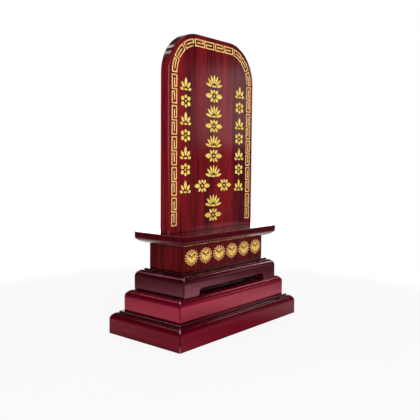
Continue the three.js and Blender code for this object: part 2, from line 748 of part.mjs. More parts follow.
function nameSlips() {
  const slips = [];
  for (let i = 0; i < SLIP_COUNT; i += 1) {
    const y = FRONT_FACE + FRONT_WALL + (i + 0.5) * SLIP_THICKNESS;
    const slip = block(SLIP_WIDTH, SLIP_THICKNESS, SLIP_HEIGHT);
    slips.push(piece(`name_slip_${i + 1}`, slip, bareWood, 0, y, POCKET_SILL));
  }
  return slips;
}

function tablet() {
  const group = new THREE.Group();
  group.position.z = TABLET_LEVEL;
  group.add(tabletBoard());
  group.add(rearCover());
  nameSlips().forEach((slip) => group.add(slip));
  return group;
}

const ancestorTablet = new THREE.Group();
ancestorTablet.add(tiers());
ancestorTablet.add(waist());
ancestorTablet.add(shelf());
ancestorTablet.add(tablet());

export default ancestorTablet;
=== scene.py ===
"""Looks of an ancestor memorial tablet on its stepped plinth: lacquered hardwood with gilt carving.

Metres, +Z up, X along the width, and the front looks along -Y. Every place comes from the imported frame.
"""

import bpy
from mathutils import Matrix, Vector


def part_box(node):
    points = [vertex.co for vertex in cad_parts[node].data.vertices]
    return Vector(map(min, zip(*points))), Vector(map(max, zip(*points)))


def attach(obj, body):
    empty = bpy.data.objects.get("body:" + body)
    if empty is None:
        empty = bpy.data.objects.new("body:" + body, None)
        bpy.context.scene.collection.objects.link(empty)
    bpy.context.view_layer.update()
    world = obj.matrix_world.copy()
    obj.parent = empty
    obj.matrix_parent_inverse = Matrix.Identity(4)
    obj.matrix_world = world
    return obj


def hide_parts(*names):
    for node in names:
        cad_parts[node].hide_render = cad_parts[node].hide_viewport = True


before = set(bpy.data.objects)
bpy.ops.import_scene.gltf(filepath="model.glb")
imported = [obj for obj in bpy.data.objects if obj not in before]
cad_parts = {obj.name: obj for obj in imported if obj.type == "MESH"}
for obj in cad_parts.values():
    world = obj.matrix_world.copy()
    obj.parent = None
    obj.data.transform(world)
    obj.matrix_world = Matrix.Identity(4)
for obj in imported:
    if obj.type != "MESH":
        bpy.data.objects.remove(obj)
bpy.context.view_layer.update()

import math

import bmesh
import bpy
import numpy as np
from mathutils import Matrix, Vector

MM = 0.001

# Numbers in the names of the frame's repeated nodes
CORNERS = range(1, 5)
SLIPS = range(1, 3)
MEDALLIONS = range(1, 7)

# Camera, at the photograph's place and angle
CAMERA_PLACE = (-552.61 * MM, -462.99 * MM, 202.72 * MM)
CAMERA_YAW = math.radians(50.119)
CAMERA_PITCH = math.radians(-4.653)
CAMERA_ROLL = math.radians(0.529)
CAMERA_LENS = 49.11
CAMERA_NEAR = 10 * MM
SENSOR_WIDTH = 36.0

# Studio: the floor's fade to white, its ring of light in reflections, and the backdrop that they see
FLOOR_HALF = 6.0
FLOOR_FADE_START = 0.16
FLOOR_FADE_END = 0.45
FLOOR_COLOUR = (0.95, 0.95, 0.95)
FLOOR_ROUGHNESS = 0.6
FLOOR_SHINE = 0.1
FLOOR_NEAR_WHITE = 0.84
FLOOR_GLOSS_RISE = (0.06, 0.17)
FLOOR_GLOSS_FALL = (0.18, 0.40)
FLOOR_GLOSS_LOW = 0.1
WORLD_LOW_LIGHT = 0.75
WORLD_HIGH_LIGHT = 0.30
WORLD_LIGHT_BAND = (-0.1, 0.6)
BACKDROP_WAY = (0.767, 0.641, 0.0)
BACKDROP_SPREAD = (0.45, 0.8)
BACKDROP_HEIGHT = (0.25, 0.62)
STUDIO_GLOSS = 0.03

# Fret border: strokes of one width, folded into units along a course inside the tablet's edge
FRET_INSET = 10 * MM
FRET_START = 7.5 * MM
FRET_HALF_WIDTH = 3.75 * MM
FRET_SPACING = 3 * MM
FRET_PITCH = 35.3 * MM
FRET_GAP = 1.7 * MM
FRET_LINE = 1.7 * MM
CROWN_CELLS = (2, 1, 2, 2, 2, 1)
TABLET_CORNER = 50 * MM
COURSE_STEP = 1.2 * MM

# Columns of blossoms that stand where the photographed tablet has its writing
CENTRE_COLUMN = {
    "top_margin": 42 * MM, "foot": 8.5 * MM, "pitch": 18.3 * MM,
    "width": 33 * MM, "height": 16 * MM, "petals": (7, 8),
    "pair_row": 7, "pair_offset": 21.5 * MM, "pair_width": 29 * MM,
}
SIDE_COLUMN = {
    "top_margin": 50 * MM, "foot": 44 * MM, "pitch": 19.8 * MM,
    "width": 20 * MM, "height": 15.5 * MM, "petals": (5, 6), "pair_row": None,
}
SIDE_COLUMN_INSET = 29.25 * MM
FAN_ANGLE = 1.32
FAN_ROOT = 0.26
CUP_HEIGHT = 0.16
CUP_HALF_WIDTH = 0.16
ROUND_ROOT = 0.2
SEED_RADIUS = 0.1
PETAL_FILL = 0.76
PETAL_FULLNESS = 0.75
PETAL_ROWS = 17

# Gilding in the cuts: a gold lining a little narrower than its cut, deepest along its middle
LINING_GAP = 0.06 * MM
LINING_RIM = 0.05 * MM
LINING_MIDDLE = 0.6 * MM
LINING_FOOT = 0.78 * MM
LINING_COLUMNS = 7
LINING_POWER = 1.6
PETAL_TIP_HALF = 0.02 * MM
PETAL_HOLLOW_POWER = 0.7

# Lotus medallions, with the outline that the CAD gives them
MEDALLION_LOBES = 16
MEDALLION_LOBE_DEPTH = 1.4 * MM
MEDALLION_TIP = 1.0 * MM
MEDALLION_TIP_POWER = 24
MEDALLION_RINGS = 52
MEDALLION_SPOKES = 256
BOWL_HEIGHT = 0.80
BOWL_FALL = 0.25
BOWL_SHARE = 0.6
INNER_ROW_FROM = 0.52
OUTER_ROW_FROM = 0.72
ROW_EDGE = 0.05
INNER_FOOT = 0.38
INNER_RISE = 0.34
OUTER_FOOT = 0.22
OUTER_RISE = 0.4
PIERCED_FROM = 0.74
PIERCED_BETWEEN = 0.45
LOOP_PLACE = 0.83
LOOP_WIDTH = 0.3
LOOP_LINE = 0.035
RING_LINE = 0.03
CREASE_FROM = 0.68
SOFT_STEP = 0.2
POD_CENTRE = 5.3
POD_HALF_WIDTH = 3.3
POD_HALF_HEIGHT = 1.5
SEED_TURNS = 3.4
LEAF_HOLLOWS = (
    ((-3.9, 2.2), -1.02, 6.4, 3.4), ((3.9, 2.2), 1.02, 6.4, 3.4), ((0.0, 0.3), 0.0, 4.0, 3.4),
)


def body_box(node):
    """The lowest and highest corner of a node as two arrays."""
    low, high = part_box(node)
    return np.array(low), np.array(high)


tablet_low, tablet_high = body_box("tablet_board")
shelf_top = body_box("shelf_board")[1][2]
TABLET_HALF = tablet_high[0]
TABLET_HEIGHT = tablet_high[2] - shelf_top
FRONT_FACE = tablet_low[1]
FRET_RADIUS = TABLET_CORNER - FRET_INSET
FRET_SIDE = TABLET_HEIGHT - TABLET_CORNER - FRET_START
FRET_ARC = FRET_RADIUS * math.pi / 2
FRET_TOP = 2 * (TABLET_HALF - TABLET_CORNER)


# Meshes

def mesh_piece(name, vertices, faces, material, body):
    """A named piece from its vertices and faces, with outward normals, riding on a body."""
    mesh = bpy.data.meshes.new(name)
    mesh.from_pydata(np.asarray(vertices).tolist(), [], faces)
    shell = bmesh.new()
    shell.from_mesh(mesh)
    bmesh.ops.recalc_face_normals(shell, faces=shell.faces)
    shell.to_mesh(mesh)
    shell.free()
    mesh.polygons.foreach_set("use_smooth", np.full(len(mesh.polygons), True))
    mesh.materials.append(material)
    piece = bpy.data.objects.new(name, mesh)
    bpy.context.scene.collection.objects.link(piece)
    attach(piece, body)
    return piece


def bar_faces(bars, rows, points):
    """Faces of closed bars whose vertices are ordered bar, row, point: each row is a ring, neighbouring
    rings are joined by quads, and the first and last ring of a bar are each closed by one face."""
    index = np.arange(bars * rows * points).reshape(bars, rows, points)
    near = index[:, :-1]
    far = index[:, 1:]
    quads = np.stack([near, np.roll(near, -1, axis=2), np.roll(far, -1, axis=2), far], axis=-1)
    ends = np.concatenate([index[:, 0, ::-1], index[:, -1]])
    return quads.reshape(-1, 4).tolist() + ends.tolist()


def lining_section():
    """Across a gold lining, as shares of its half width and depths below the face: a hollow whose depth
    falls away from its middle with a power of the share, then its flat foot."""
    share = np.linspace(-1, 1, LINING_COLUMNS)
    depth = LINING_RIM + (LINING_MIDDLE - LINING_RIM) * (1 - np.abs(share) ** LINING_POWER)
    return np.append(share, [1, -1]), np.append(depth, [LINING_FOOT, LINING_FOOT])


# Fret border

def on_course(s, t):
    """Points in x and z from s, the way along the border from the lower left corner up, over and down the
    right side, and t, the distance outwards: straight up, a quarter circle, level, and the same mirrored."""
    centre_x = TABLET_HALF - TABLET_CORNER
    centre_z = shelf_top + TABLET_HEIGHT - TABLET_CORNER
    middle = FRET_SIDE + FRET_ARC + FRET_TOP / 2
    side = np.where(s < middle, -1.0, 1.0)
    along = np.where(s < middle, s, 2 * middle - s)
    angle = np.clip((along - FRET_SIDE) / FRET_RADIUS, 0, math.pi / 2)
    reach = FRET_RADIUS + t
    level = np.maximum(along - FRET_SIDE - FRET_ARC, 0)
    rise = np.minimum(along - FRET_SIDE, 0)
    x = side * (centre_x + reach * np.cos(angle) - level)
    return x, centre_z + reach * np.sin(angle) + rise


def fret_line(cells, length):
    """The line of one fret unit: a single hook, or two hooks that meet in a wave."""
    h = FRET_HALF_WIDTH
    g = FRET_SPACING
    if cells == 1:
        return [(g, 0), (length, 0), (length, h), (0, h), (0, -h), (length, -h)]
    middle = length / 2
    return [
        (g, 0), (middle - g, 0), (middle - g, h), (0, h), (0, -h), (middle, -h),
        (middle, h), (length, h), (length, -h), (middle + g, -h), (middle + g, 0), (length - g, 0),
    ]


def stroked(line, width):
    """The points of a line with even steps, and at each the vector to its stroke's left edge: half a width
    square to the line, and along the mitre where the line turns."""
    corners = np.array(line)
    counts = np.maximum(np.round(np.linalg.norm(np.diff(corners, axis=0), axis=1) / COURSE_STEP), 1)
    steps = np.concatenate([np.arange(n) / n + i for i, n in enumerate(counts.astype(int))] + [[len(counts)]])
    points = np.stack([np.interp(steps, np.arange(len(corners)), corners[:, k]) for k in (0, 1)], axis=1)
    ways = np.diff(points, axis=0)
    ways /= np.linalg.norm(ways, axis=1)[:, None]
    before = np.vstack([ways[:1], ways])
    after = np.vstack([ways, ways[-1:]])
    turned = np.sum(before * after, axis=1) < 0.5
    way = np.where(turned[:, None], before + after, before)
    across = np.stack([-way[:, 1], way[:, 0]], axis=1) * width / 2
    return points, across


def fret_units(starts, pitch, cells):
    """Rings of the linings of equal fret units: every stroke point is carried to the course, with the
    lining's section laid across it."""
    length = pitch - FRET_GAP - FRET_LINE
    first = np.asarray(starts) + (FRET_GAP + FRET_LINE) / 2
    points, across = stroked(fret_line(cells, length), FRET_LINE - 2 * LINING_GAP)
    share, depth = lining_section()
    flat = points[:, None, :] + across[:, None, :] * share[None, :, None]
    s = first[:, None, None] + flat[None, :, :, 0]
    t = np.broadcast_to(flat[None, :, :, 1], s.shape)
    x, z = on_course(s, t)
    y = np.broadcast_to(FRONT_FACE + depth, s.shape)
    return np.stack([x, y, z], axis=-1)


def fret_border(material):
    """Both straight sides and the crown's run of long and short units, as gold linings in their cuts."""
    side_count = max(1, round(FRET_SIDE / FRET_PITCH))
    side_pitch = FRET_SIDE / side_count
    crown = 2 * FRET_ARC + FRET_TOP
    ups = np.arange(side_count) * side_pitch
    cell = crown / sum(CROWN_CELLS)
    starts = FRET_SIDE + cell * np.cumsum([0, *CROWN_CELLS[:-1]])
    batches = {
        "fret_gilding_left": fret_units(ups, side_pitch, 2),
        "fret_gilding_right": fret_units(FRET_SIDE + crown + ups, side_pitch, 2),
    }
    for cells in sorted(set(CROWN_CELLS)):
        chosen = starts[np.array(CROWN_CELLS) == cells]
        batches[f"fret_gilding_crown_{cells}"] = fret_units(chosen, cells * cell, cells)
    for name, rings in batches.items():
        faces = bar_faces(*rings.shape[:3])
        mesh_piece(name, rings.reshape(-1, 3), faces, material, "tablet")


# Blossoms

def petal_rings(x, z, angle, root, reach, width):
    """Rings of petals from arrays of their centres, angles from upright, ends and widths: the half width
    along a petal is the sine of half a turn to a power, and the hollow gets shallow towards both tips."""
    u = np.linspace(0, 1, PETAL_ROWS)
    fullness = np.maximum(np.sin(math.pi * u), 0) ** PETAL_FULLNESS
    share, depth = lining_section()
    half = np.maximum(width[:, None] / 2 * fullness - LINING_GAP, PETAL_TIP_HALF)
    across = half[:, :, None] * share
    along = (root + LINING_GAP)[:, None] + (reach - root - 2 * LINING_GAP)[:, None] * u
    sine = np.sin(angle)[:, None, None]
    cosine = np.cos(angle)[:, None, None]
    px = x[:, None, None] + along[:, :, None] * sine + across * cosine
    pz = z[:, None, None] + along[:, :, None] * cosine - across * sine
    hollow = LINING_RIM + (depth - LINING_RIM) * np.minimum(fullness, 1)[:, None] ** PETAL_HOLLOW_POWER
    hollow[:, LINING_COLUMNS:] = LINING_FOOT
    py = np.broadcast_to(FRONT_FACE + hollow, px.shape)
    return np.stack([px, py, pz], axis=-1)


def petal_rows(x, z, angles, pitch, root, reach_x, reach_z):
    """One row for each petal of a ring: its centre, angle, ends and width, out to an ellipse."""
    reach = 1 / np.hypot(np.sin(angles) / reach_x, np.cos(angles) / reach_z)
    width = (root + reach) * math.tan(pitch / 2) * PETAL_FILL
    same = np.ones_like(angles)
    return np.stack([x * same, z * same, angles, root * same, reach, width], axis=1)


def fan_blossom(x, z, width, height, petals):
    """A blossom from the side: a fan of petals over a flat cup."""
    foot = z - height / 2
    pitch = 2 * FAN_ANGLE / (petals - 1)
    angles = np.arange(petals) * pitch - FAN_ANGLE
    fan = petal_rows(x, foot, angles, pitch, height * FAN_ROOT, width / 2, height)
    reach = width * CUP_HALF_WIDTH
    cup = [[x, foot + height * CUP_HEIGHT / 2, math.pi / 2, -reach, reach, height * CUP_HEIGHT]]
    return np.vstack([fan, cup])


def round_blossom(x, z, width, height, petals):
    """A blossom from above: a ring of petals round a seed head."""
    pitch = 2 * math.pi / petals
    ring = petal_rows(x, z, np.arange(petals) * pitch, pitch, height * ROUND_ROOT, width / 2, height / 2)
    seed = height * SEED_RADIUS
    head = [[x, z, math.pi / 2, -seed, seed, 2 * seed]]
    return np.vstack([ring, head])


def blossom_column(name, x, column, material):
    """A column of blossoms from the top down, seen from the side and from above in turn; one row may hold a
    pair of them, set apart."""
    top = TABLET_HEIGHT - column["top_margin"]
    count = math.floor((top - column["foot"]) / column["pitch"])
    step = (top - column["foot"]) / count
    rows = []
    for i in range(count):
        blossom = (fan_blossom, round_blossom)[i % 2]
        z = shelf_top + top - (i + 0.5) * step
        places, width = [x], column["width"]
        if i == column["pair_row"]:
            places = [x - column["pair_offset"], x + column["pair_offset"]]
            width = column["pair_width"]
        for place in places:
            rows.append(blossom(place, z, width, column["height"], column["petals"][i % 2]))
    rings = petal_rings(*np.vstack(rows).T)
    mesh_piece(name, rings.reshape(-1, 3), bar_faces(*rings.shape[:3]), material, "tablet")


# Medallions

def leaf(x, z, centre, angle, length, width):
    """How far inside a leaf shape each point lies, from 1 on its spine to 0 at its edge: one minus the
    square of the share along it and the share across its narrowing width."""
    along = ((x - centre[0]) * math.sin(angle) + (z - centre[1]) * math.cos(angle)) / (length / 2)
    across = ((x - centre[0]) * math.cos(angle) - (z - centre[1]) * math.sin(angle)) / (width / 2)
    return np.clip(1 - along ** 2 - np.abs(across), 0, 1)


def lotus_relief(r, turn, x, z):
    """Height of the lotus from 0 to 1 and how much of it is gilt. r is the share of the way out, turn the
    angle from the foot, and x and z are in millimetres. Two rows of petals, each a half circle across, stand
    round a smooth bowl, with ungilt ground between the outer ones. The bowl has a seed pod above and three
    leaf hollows in a wide V."""
    place = turn * MEDALLION_LOBES / (2 * math.pi)
    outer = 2 * np.abs(place + 0.5 - np.floor(place + 0.5) - 0.5)
    inner = 2 * np.abs(place - np.floor(place) - 0.5)
    lower = np.clip(0.6 + 0.8 * np.cos(turn), 0, 1)
    rim = np.clip((r - OUTER_ROW_FROM) / ROW_EDGE, 0, 1)
    row = np.clip((r - INNER_ROW_FROM) / ROW_EDGE, 0, 1) * (1 - rim) * lower
    height = BOWL_HEIGHT - BOWL_FALL * np.clip(r / BOWL_SHARE, 0, 1) ** 2
    height = height * (1 - row) + row * (INNER_FOOT + INNER_RISE * np.sqrt(np.clip(1 - inner ** 2, 0, 1)))
    height = height * (1 - rim) + rim * (OUTER_FOOT + OUTER_RISE * np.sqrt(np.clip(1 - outer ** 2, 0, 1)))
    between = np.clip((outer - PIERCED_BETWEEN) / SOFT_STEP, 0, 1)
    between = between * np.clip((r - PIERCED_FROM) / ROW_EDGE, 0, 1)
    loops = np.exp(-(outer / LOOP_WIDTH) ** 2 - ((r - LOOP_PLACE) / LOOP_LINE) ** 2)
    creases = row * np.clip((inner - CREASE_FROM) / SOFT_STEP, 0, 1)
    ring = np.exp(-((r - PIERCED_FROM) / RING_LINE) ** 2) * (0.45 + 0.55 * lower)
    pierced = np.clip(between + 0.9 * loops + 0.8 * ring, 0, 1)
    hollows = np.zeros_like(x)
    for centre, angle, length, width in LEAF_HOLLOWS:
        hollows = np.maximum(hollows, np.clip(leaf(x, z, centre, angle, length, width) / 0.3, 0, 1))
    pod = np.hypot(x / POD_HALF_WIDTH, (z - POD_CENTRE) / POD_HALF_HEIGHT)
    height += 0.2 * np.exp(-((pod - 1.15) / 0.2) ** 2)
    seeds = np.clip(np.cos(x * SEED_TURNS) * np.cos((z - POD_CENTRE) * SEED_TURNS), 0, 1)
    inside = np.clip((1.0 - pod) / 0.15, 0, 1)
    height -= 0.5 * hollows + 0.12 * inside + 0.2 * pierced
    gilt = (1 - 0.25 * rim) * (1 - 0.6 * creases) * (1 - inside * (0.6 - 0.4 * seeds))
    gilt = gilt * (1 - hollows) * (1 - 0.9 * pierced)
    edge = np.clip((1 - r) / 0.05, 0, 1)
    return np.clip(height, 0.1, 1) * np.sqrt(edge * 0.75 + 0.25), gilt


def lotus_medallion(node, material):
    """A gilt medallion on a polar grid: the way out is an oval with lobes and a drawn-out foot times the
    ring's share, and the front stands out by the lotus relief; its back is flat on the waist board."""
    low, high = body_box(node)
    thickness = high[1] - low[1]
    centre_x = (low[0] + high[0]) / 2
    half_width = (high[0] - low[0]) / 2
    half_height = (high[2] - low[2] - MEDALLION_TIP) / 2
    centre_z = high[2] - half_height
    theta = np.arange(MEDALLION_SPOKES) * 2 * math.pi / MEDALLION_SPOKES
    turn = theta + math.pi / 2
    tip = MEDALLION_TIP * np.maximum(np.cos(turn), 0) ** MEDALLION_TIP_POWER
    lobes = MEDALLION_LOBE_DEPTH / 2 * (np.cos(MEDALLION_LOBES * turn) - 1)
    share = np.linspace(0, 1, MEDALLION_RINGS)[1:]
    x = share[:, None] * (half_width + lobes) * np.cos(theta)
    z = share[:, None] * (half_height + lobes + tip) * np.sin(theta)
    out = np.broadcast_to(share[:, None], x.shape)
    height, gilt = lotus_relief(out, np.broadcast_to(turn, x.shape), x / MM, z / MM)
    middle_height, middle_gilt = lotus_relief(*np.zeros((4, 1)))
    front = np.stack([centre_x + x, high[1] - thickness * height, centre_z + z], axis=-1).reshape(-1, 3)
    back = np.stack([centre_x + x[-1], np.full(MEDALLION_SPOKES, high[1]), centre_z + z[-1]], axis=-1)
    middle = [[centre_x, high[1] - thickness * middle_height[0], centre_z]]
    rings = MEDALLION_RINGS - 1
    index = np.arange(rings * MEDALLION_SPOKES).reshape(rings, MEDALLION_SPOKES)
    turned = np.roll(index, -1, axis=1)
    quads = np.stack([index[:-1], turned[:-1], turned[1:], index[1:]], axis=-1).reshape(-1, 4)
    rim = rings * MEDALLION_SPOKES + np.arange(MEDALLION_SPOKES)
    wall = np.stack([index[-1], turned[-1], np.roll(rim, -1), rim], axis=-1)
    centre = rings * MEDALLION_SPOKES + MEDALLION_SPOKES
    fan = np.stack([turned[0], index[0], np.full(MEDALLION_SPOKES, centre)], axis=-1)
    faces = quads.tolist() + wall.tolist() + fan.tolist() + [rim.tolist()]
    vertices = np.vstack([front, back, middle])
    piece = mesh_piece(f"gilt_{node}", vertices, faces, material, "plinth")
    cover = piece.data.attributes.new("gilt", "FLOAT", "POINT")
    values = np.concatenate([gilt.reshape(-1), gilt[-1], middle_gilt])
    cover.data.foreach_set("value", values.astype(np.float32))
    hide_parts(node)


# Shader helpers

def links_of(tree):
    """A short way to add a node with its values, and to join two sockets."""
    def add(kind, **values):
        node = tree.nodes.new(kind)
        for key, value in values.items():
            if hasattr(node, key):
                setattr(node, key, value)
            else:
                node.inputs[key].default_value = value
        return node

    def join(output, target):
        tree.links.new(output, target)

    return add, join


def new_group(name, inputs, outputs):
    """An empty shader group with named sockets, given as name, kind and default."""
    group = bpy.data.node_groups.new(name, "ShaderNodeTree")
    for label, kind, value in inputs:
        socket = group.interface.new_socket(name=label, in_out="INPUT", socket_type=kind)
        if value is not None:
            socket.default_value = value
    for label, kind in outputs:
        group.interface.new_socket(name=label, in_out="OUTPUT", socket_type=kind)
    add, join = links_of(group)
    return group, add("NodeGroupInput"), add("NodeGroupOutput"), add, join


def maths(add, join, operation, first, second=None, clamp=False):
    """The result of one arithmetic node; an argument is a socket or a number."""
    node = add("ShaderNodeMath", operation=operation, use_clamp=clamp)
    for i, value in enumerate((first, second)):
        if isinstance(value, (int, float)):
            node.inputs[i].default_value = value
        elif value is not None:
            join(value, node.inputs[i])
    return node.outputs[0]


def remap(add, join, value, low, high, to_low=0.0, to_high=1.0):
    """A value carried smoothly from one range to another."""
    node = add("ShaderNodeMapRange", interpolation_type="SMOOTHSTEP")
    join(value, node.inputs["Value"])
    node.inputs["From Min"].default_value = low
    node.inputs["From Max"].default_value = high
    node.inputs["To Min"].default_value = to_low
    node.inputs["To Max"].default_value = to_high
    return node.outputs["Result"]


def blend_colour(add, join, factor, first, second):
    """Two colours mixed by a factor; each is a socket or an RGBA value."""
    node = add("ShaderNodeMix", data_type="RGBA", blend_type="MIX")
    for value, socket in ((factor, node.inputs[0]), (first, node.inputs[6]), (second, node.inputs[7])):
        if isinstance(value, (int, float, tuple)):
            socket.default_value = value
        else:
            join(value, socket)
    return node.outputs[2]


def blend_share(add, join, mask, share, first, second):
    """Two colours mixed by a share of a mask."""
    return blend_colour(add, join, maths(add, join, "MULTIPLY", mask, share), first, second)


def darker(colour, share):
    """A share of a colour's light."""
    return (*(share * c for c in colour[:3]), 1)


def add_bump(add, join, shader, height, strength, depth, normal=None):
    """Feeds a shader's normal from a height, laid over another normal where one is given."""
    bump = add("ShaderNodeBump", Strength=strength, Distance=depth)
    join(height, bump.inputs["Height"])
    if normal is not None:
        join(normal, bump.inputs["Normal"])
    join(bump.outputs["Normal"], shader.inputs["Normal"])


def noise(add, join, vector, scale, detail=3.0, roughness=0.55):
    """A noise value over a vector."""
    node = add("ShaderNodeTexNoise", Scale=scale, Detail=detail, Roughness=roughness)
    join(vector, node.inputs["Vector"])
    return node.outputs["Fac"]


# Shader groups

NODE_SAMPLES = 4
NOISE_SPREAD = (0.3, 0.7)
WANDER_SCALE = 9.0
FIBRE_FINENESS = 9.0
PORE_FINENESS = 16.0
PORE_CUT = (0.62, 0.7)
ARRIS_REACH = 1.5 * MM
ARRIS_TURN = (0.995, 0.8)
ARRIS_BREAKS = (0.35, 0.65, 0.5, 1.0)
CAVITY_REACH = 2.5 * MM
CAVITY_OPEN = (0.75, 0.15)
SHOULDER_SLOPE = (0.12, 0.55)
CORNER_SLOPE_RISE = (0.48, 0.60)
CORNER_SLOPE_FALL = (0.92, 0.80)
SMEAR_SCALE = 42.0
RIPPLE_SCALE = 75.0
SPECK_SCALE = 900.0
SPECK_CUT = (0.78, 0.82)


def wood_grain_group():
    """Grain that runs along Z of its vector. Streak is the broad light and dark of the boards, Fibre the fine
    lines, and Pore the short dark vessels."""
    group, given, result, add, join = new_group(
        "wood_grain",
        [("Vector", "NodeSocketVector", None), ("Streaks per Metre", "NodeSocketFloat", 110.0),
         ("Length", "NodeSocketFloat", 18.0), ("Waviness", "NodeSocketFloat", 0.004)],
        [("Streak", "NodeSocketFloat"), ("Fibre", "NodeSocketFloat"), ("Pore", "NodeSocketFloat")],
    )
    wander = add("ShaderNodeTexNoise", Scale=WANDER_SCALE, Detail=2.0)
    join(given.outputs["Vector"], wander.inputs["Vector"])
    centred = add("ShaderNodeVectorMath", operation="SUBTRACT")
    join(wander.outputs["Color"], centred.inputs[0])
    centred.inputs[1].default_value = (0.5, 0.5, 0.5)
    scaled = add("ShaderNodeVectorMath", operation="SCALE")
    join(centred.outputs[0], scaled.inputs[0])
    join(given.outputs["Waviness"], scaled.inputs["Scale"])
    moved = add("ShaderNodeVectorMath", operation="ADD")
    join(given.outputs["Vector"], moved.inputs[0])
    join(scaled.outputs[0], moved.inputs[1])
    parts = add("ShaderNodeSeparateXYZ")
    join(moved.outputs[0], parts.inputs[0])
    short = maths(add, join, "DIVIDE", parts.outputs["Z"], given.outputs["Length"])
    drawn = add("ShaderNodeCombineXYZ")
    join(parts.outputs["X"], drawn.inputs["X"])
    join(parts.outputs["Y"], drawn.inputs["Y"])
    join(short, drawn.inputs["Z"])
    dense = add("ShaderNodeVectorMath", operation="SCALE")
    join(drawn.outputs[0], dense.inputs[0])
    join(given.outputs["Streaks per Metre"], dense.inputs["Scale"])
    broad = noise(add, join, dense.outputs[0], 1.0, 4.0, 0.6)
    fine = noise(add, join, dense.outputs[0], FIBRE_FINENESS, 3.0, 0.7)
    vessel = noise(add, join, dense.outputs[0], PORE_FINENESS, 1.0, 0.5)
    join(remap(add, join, broad, *NOISE_SPREAD), result.inputs["Streak"])
    join(remap(add, join, fine, *NOISE_SPREAD), result.inputs["Fibre"])
    join(remap(add, join, vessel, *PORE_CUT), result.inputs["Pore"])
    return group


def arris_and_light_group():
    """Masks for worn arrises, painted shade and painted highlights. Edge is 1 along a sharp edge and fades
    over its reach, broken up by noise. Cavity is 1 deep in a joint or a cut, from occlusion, for painted
    shade. Corner is 1 on an edge that crosses a rounded shoulder, for a painted highlight. Shoulder grows
    from 0 on an upright face to 1 on one that looks well upwards, for painted shade. Normal is the
    surface's own, turned over each arris as if it were rounded."""
    group, given, result, add, join = new_group(
        "arris_and_painted_light",
        [("Vector", "NodeSocketVector", None), ("Breaks per Metre", "NodeSocketFloat", 220.0)],
        [("Edge", "NodeSocketFloat"), ("Cavity", "NodeSocketFloat"), ("Corner", "NodeSocketFloat"),
         ("Shoulder", "NodeSocketFloat"), ("Normal", "NodeSocketVector")],
    )
    rounded = add("ShaderNodeBevel", samples=NODE_SAMPLES)
    rounded.inputs["Radius"].default_value = ARRIS_REACH
    join(rounded.outputs["Normal"], result.inputs["Normal"])
    surface = add("ShaderNodeNewGeometry")
    agree = add("ShaderNodeVectorMath", operation="DOT_PRODUCT")
    join(rounded.outputs["Normal"], agree.inputs[0])
    join(surface.outputs["Normal"], agree.inputs[1])
    near = remap(add, join, agree.outputs["Value"], *ARRIS_TURN)
    broken = noise(add, join, given.outputs["Vector"], 1.0, 4.0, 0.65)
    join(given.outputs["Breaks per Metre"], broken.node.inputs["Scale"])
    worn = maths(add, join, "MULTIPLY", near, remap(add, join, broken, *ARRIS_BREAKS))
    join(worn, result.inputs["Edge"])
    slope = add("ShaderNodeSeparateXYZ")
    join(surface.outputs["Normal"], slope.inputs[0])
    shoulder = maths(
        add, join, "MULTIPLY", remap(add, join, slope.outputs["Z"], *CORNER_SLOPE_RISE),
        remap(add, join, slope.outputs["Z"], *CORNER_SLOPE_FALL))
    join(maths(add, join, "MULTIPLY", near, shoulder), result.inputs["Corner"])
    join(remap(add, join, slope.outputs["Z"], *SHOULDER_SLOPE), result.inputs["Shoulder"])
    occlusion = add("ShaderNodeAmbientOcclusion", samples=NODE_SAMPLES)
    occlusion.inputs["Distance"].default_value = CAVITY_REACH
    join(remap(add, join, occlusion.outputs["AO"], *CAVITY_OPEN), result.inputs["Cavity"])
    return group


def polish_group():
    """The polish's unevenness: Smear is a soft cloudiness for roughness, Ripple a faint height, and Speck
    the few points where a worn edge is chipped."""
    group, given, result, add, join = new_group(
        "polish",
        [("Vector", "NodeSocketVector", None)],
        [("Smear", "NodeSocketFloat"), ("Ripple", "NodeSocketFloat"), ("Speck", "NodeSocketFloat")],
    )
    join(noise(add, join, given.outputs["Vector"], SMEAR_SCALE, 4.0, 0.6), result.inputs["Smear"])
    join(noise(add, join, given.outputs["Vector"], RIPPLE_SCALE, 1.0, 0.5), result.inputs["Ripple"])
    specks = noise(add, join, given.outputs["Vector"], SPECK_SCALE, 0.0, 0.5)
    join(remap(add, join, specks, *SPECK_CUT), result.inputs["Speck"])
    return group


GRAIN = wood_grain_group()
ARRIS_AND_LIGHT = arris_and_light_group()
POLISH = polish_group()


def new_material(name):
    """An empty node material, with its output and a Principled shader."""
    material = bpy.data.materials.new(name)
    material.use_nodes = True
    tree = material.node_tree
    tree.nodes.clear()
    add, join = links_of(tree)
    shader = add("ShaderNodeBsdfPrincipled")
    output = add("ShaderNodeOutputMaterial")
    join(shader.outputs[0], output.inputs["Surface"])
    return material, shader, add, join


def placed_group(add, join, group, vector):
    """A group node fed with a vector."""
    node = add("ShaderNodeGroup")
    node.node_tree = group
    join(vector, node.inputs["Vector"])
    return node


def turned_to(add, join, vector, along):
    """The vector with the chosen axis brought to Z, so that grain runs along that axis."""
    parts = add("ShaderNodeSeparateXYZ")
    join(vector, parts.inputs[0])
    order = {"X": "YZX", "Y": "ZXY", "Z": "XYZ"}[along]
    turned = add("ShaderNodeCombineXYZ")
    for source, target in zip(order, "XYZ"):
        join(parts.outputs[source], turned.inputs[target])
    return turned.outputs[0]


